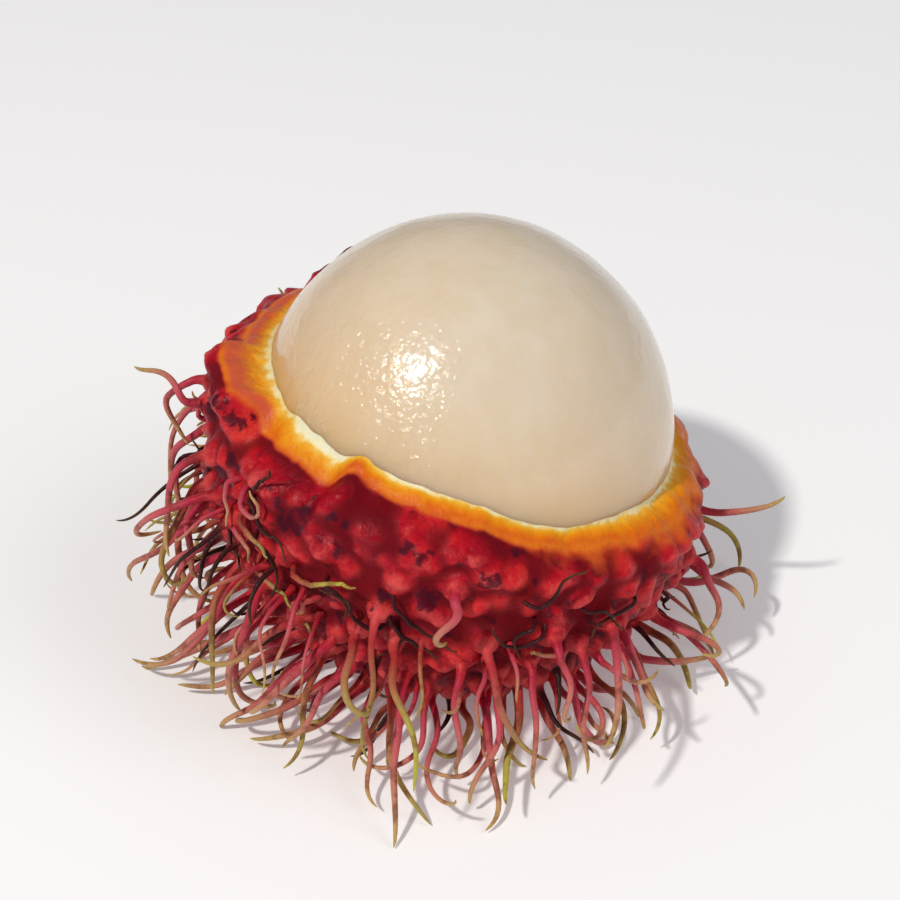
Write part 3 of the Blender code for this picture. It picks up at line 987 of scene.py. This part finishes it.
def spine_colour(shader):
    """Crimson at the root, pink to tan along the stem, olive to yellow at the tip. Some spines are dry."""
    strand, dry, tone = shader.share("strand"), shader.share("dry"), shader.share("tone")
    pink = shader.ramp(
        strand,
        (0.05, (0.42, 0.008, 0.026)),
        (0.20, (0.46, 0.020, 0.055)),
        (0.45, (0.55, 0.095, 0.120)),
        (0.70, (0.53, 0.220, 0.150)),
        (0.88, (0.50, 0.330, 0.140)),
        (1.0, (0.46, 0.350, 0.110)),
    )
    olive = shader.ramp(
        strand,
        (0.05, (0.30, 0.006, 0.016)),
        (0.22, (0.40, 0.035, 0.030)),
        (0.42, (0.40, 0.140, 0.070)),
        (0.66, (0.38, 0.270, 0.080)),
        (1.0, (0.37, 0.340, 0.070)),
    )
    stem = shader.mix(shader.spread(tone, 0.50, 0.85), pink, olive)
    yellow = shader.math("MULTIPLY", shader.spread(tone, 0.90, 0.93), shader.spread(strand, 0.35, 0.8))
    stem = shader.mix(yellow, stem, YELLOW_TIP)
    browned = shader.spread(shader.noise(1.8 * MM, detail=3.0, rough=0.6), 0.50, 0.66, 0.0, 0.6)
    stem = shader.mix(browned, stem, BROWN_STEM)
    withered = shader.ramp(
        strand,
        (0.0, (0.070, 0.004, 0.010)),
        (0.5, (0.026, 0.008, 0.008)),
        (1.0, (0.075, 0.036, 0.016)),
    )
    return shader.mix(dry, stem, withered)


def rind_material():
    """The skin, the cut's face and the spines in one material, told apart by the shares."""
    shader = Shader(
        "rind",
        Specular_IOR_Level=0.16,
        Subsurface_Weight=0.2,
        Subsurface_Radius=(1.0, 0.3, 0.2),
        Subsurface_Scale=1 * MM,
    )
    skin = cut_colour(shader, skin_colour(shader))
    strand = shader.share("strand")
    colour = shader.mix(shader.spread(strand, 0.07, 0.24), skin, spine_colour(shader))
    pores = shader.noise(0.40 * MM, detail=3.0, rough=0.6)
    wrinkles = shader.noise(1.1 * MM, detail=2.0, distortion=0.5)
    bumped = shader.bump(pores, 0.09 * MM, 1.0, shader.bump(wrinkles, 0.26 * MM, 0.8))
    rough = shader.math("MAXIMUM", shader.spread(pores, 0.3, 0.7, 0.30, 0.52), shader.share("furrow"))
    shader.feed(shader.principled, Base_Color=colour, Normal=bumped, Roughness=rough)
    return shader.material


def aril_material():
    """Wet, cream-white, translucent flesh: faint streaks, painted shade and orange bounce light near the rind
    with a painted bright strip where they meet, dimpled in the glare.
    """
    shader = Shader(
        "aril",
        Roughness=0.17,
        Subsurface_Weight=1.0,
        Subsurface_Radius=(1.0, 0.78, 0.5),
        Subsurface_Scale=6 * MM,
        Coat_Weight=0.7,
        Coat_Roughness=0.26,
    )
    streaks = shader.noise(2.4 * MM, detail=3.0, rough=0.55, stretch=(1.0, 1.0, 0.22))
    clouds = shader.noise(9 * MM, detail=2.0)
    flesh = shader.mix(shader.spread(streaks, 0.35, 0.7), (0.77, 0.68, 0.54), (0.80, 0.72, 0.60))
    flesh = shader.mix(shader.spread(clouds, 0.4, 0.65, 0.0, 0.2), flesh, (0.76, 0.68, 0.59))
    # Painted shade and orange light bounced from the rind: the flesh darker and tanner towards the rind.
    flesh = shader.mix(shader.share("rind_shade_and_bounce"), flesh, (0.76, 0.43, 0.12))
    # Painted light: a bright orange strip where the flesh meets the rind, laid over the shade of that crease.
    flesh = shader.mix(shader.spread(shader.share("rind_shade_and_bounce"), 0.70, 0.9), flesh, (0.97, 0.50, 0.10))
    ripple = shader.noise(2.0 * MM, detail=2.0, rough=0.5, distortion=0.6)
    grain = shader.noise(0.70 * MM, detail=1.5)
    grain = shader.math("MULTIPLY", grain, shader.spread(shader.share("pressed"), 0.0, 0.8, 0.15, 1.0))
    soft = shader.bump(ripple, 0.09 * MM, 1.0)
    grainy = shader.bump(grain, 0.09 * MM, 1.0, soft)
    dimpled = shader.bump(grain, 0.38 * MM, 1.0, soft)
    shader.feed(shader.principled, Base_Color=flesh, Normal=grainy, Coat_Normal=dimpled)
    return shader.material


def floor_material():
    """White, and faintly lit from within, so that its shadows stay light."""
    return Shader(
        "floor",
        Base_Color=(0.94, 0.955, 0.98, 1.0),
        Roughness=0.75,
        Emission_Color=(0.98, 0.98, 1.0, 1.0),
        Emission_Strength=0.16,
    ).material


# Pieces.


def add_piece(name, mesh, material):
    """Puts a mesh in the scene as an object with a material."""
    mesh.materials.append(material)
    mesh.shade_smooth()
    made = bpy.data.objects.new(name, mesh)
    bpy.context.scene.collection.objects.link(made)
    return made


def add_rind():
    """The cup of rind, one mesh from its cut's inner edge to its spines' tips."""
    growth = Growth()
    roots = spine_roots()
    rings, edge, skin_places = grow_skin(growth, roots)
    grow_lip(growth, edge)
    grow_spines(growth, roots, rings, skin_places)
    grow_spines(growth, fine_roots(roots), None, None)
    grow_hairs(growth)
    rind = add_piece("rind_skin", growth.mesh("rind_skin"), rind_material())
    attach(rind, "root")
    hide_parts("rind")


def add_aril():
    """The flesh: a smooth ball with slight undulations."""
    semi_axes = SKIN_SEMI_AXES - WALL - ARIL_GAP
    area = 4 * math.pi * np.prod(semi_axes) ** (2 / 3)
    rings = round(math.sqrt(area / ARIL_SPACING**2 / 2))
    sides = 2 * rings
    polar = np.arange(1, rings)[:, None] * math.pi / rings
    turn = np.arange(sides)[None] * 2 * math.pi / sides
    polar, turn = np.broadcast_arrays(polar, turn)
    rows = np.stack([np.sin(polar) * np.cos(turn), np.sin(polar) * np.sin(turn), np.cos(polar)], axis=2)
    directions = np.concatenate([rows.reshape(-1, 3), [[0, 0, 1], [0, 0, -1]]])
    places = on_body(directions, semi_axes)
    above = np.maximum(-below_cut(places), 0)
    swell = 0.14 * noise_at(places, 9 * MM, 6.0) + 0.05 * noise_at(places, 3.5 * MM, 8.0)
    swell *= smoothstep(1 * MM, 5 * MM, above)
    places = places + directions @ LEAN_MATRIX.T * (swell * MM)[:, None]
    faces = []
    for ring in range(rings - 2):
        for side in range(sides):
            here, there = ring * sides + side, ring * sides + (side + 1) % sides
            faces.append([here, here + sides, there + sides, there])
    top, bottom = len(directions) - 2, len(directions) - 1
    last = (rings - 2) * sides
    for side in range(sides):
        faces.append([top, side, (side + 1) % sides])
        faces.append([bottom, last + (side + 1) % sides, last + side])
    mesh = bpy.data.meshes.new("aril_flesh")
    mesh.from_pydata(places.tolist(), [], faces)
    azimuth = azimuth_round_cut(places)
    # Painted shade and bounce light from the rind: how far up the flesh they reach, further at the left and
    # right.
    shade_reach = 4.2 + 2.6 * window(*FLESH_SHADE_LEFT, 30, azimuth) + 1.4 * window(*FLESH_SHADE_RIGHT, 20, azimuth)
    pressed = window(*FLESH_PRESSED, 20, azimuth) * np.exp(-((above / (11 * MM)) ** 2))
    shares = {"rind_shade_and_bounce": 0.9 * np.exp(-above / (shade_reach * MM)), "pressed": pressed}
    for name, share in shares.items():
        mesh.attributes.new(name, "FLOAT", "POINT").data.foreach_set("value", share.astype(np.float32))
    aril = add_piece("aril_flesh", mesh, aril_material())
    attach(aril, "root")
    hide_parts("aril")


# The studio.

FLOOR_SIZE = 6.0
LIGHT_DISTANCE = 0.9
CAMERA_ELEVATION = math.radians(35)
FRUIT_IN_PICTURE = 0.76


def add_floor():
    """A plain pale floor under the fruit."""
    mesh = bpy.data.meshes.new("floor")
    half = FLOOR_SIZE / 2
    corners = [(-half, -half, 0), (half, -half, 0), (half, half, 0), (-half, half, 0)]
    mesh.from_pydata(corners, [], [(0, 1, 2, 3)])
    floor = add_piece("floor", mesh, floor_material())


def add_area_light(name, towards, size, energy, colour):
    """A round area light that looks at the fruit from the direction given."""
    light = bpy.data.lights.new(name, "AREA")
    light.shape = "DISK"
    light.size = size
    light.energy = energy
    light.color = colour
    made = bpy.data.objects.new(name, light)
    way = Vector(towards).normalized()
    made.location = Vector(CENTRE) + way * LIGHT_DISTANCE
    made.rotation_euler = way.to_track_quat("Z", "Y").to_euler()
    bpy.context.scene.collection.objects.link(made)
    return made


def add_lights():
    """A small warm lamp at the front left, a broad faint one on the right, and pale light from all round."""
    add_area_light("sun", (-0.41, -0.47, 0.780), 0.06, 5.1, (1.0, 0.955, 0.88))
    fill = add_area_light("fill", (0.76, -0.32, 0.80), 0.60, 1.85, (0.98, 0.965, 0.97))
    fill.visible_glossy = False
    world = bpy.data.worlds.new("studio")
    world.use_nodes = True
    background = world.node_tree.nodes["Background"]
    background.inputs["Color"].default_value = (0.98, 0.96, 1.0, 1.0)
    background.inputs["Strength"].default_value = 0.21
    bpy.context.scene.world = world
    bpy.context.scene.view_settings.view_transform = "Standard"


def add_camera():
    """Looks along +Y from 35 degrees up, at the middle of the fruit."""
    low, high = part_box("rind")
    _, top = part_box("aril")
    middle = Vector(((low.x + high.x) / 2, (low.y + high.y) / 2, top.z * 0.47))
    camera = bpy.data.cameras.new("camera")
    camera.lens = 85
    camera.sensor_width = 36
    camera.clip_start = 0.01
    made = bpy.data.objects.new("camera", camera)
    away = Vector((0.0, -math.cos(CAMERA_ELEVATION), math.sin(CAMERA_ELEVATION)))
    width_shown = (high.x - low.x) / FRUIT_IN_PICTURE
    made.location = middle + away * width_shown * camera.lens / camera.sensor_width
    made.rotation_euler = away.to_track_quat("Z", "Y").to_euler()
    bpy.context.scene.collection.objects.link(made)
    bpy.context.scene.camera = made


add_camera()
add_lights()
add_floor()
add_rind()
add_aril()
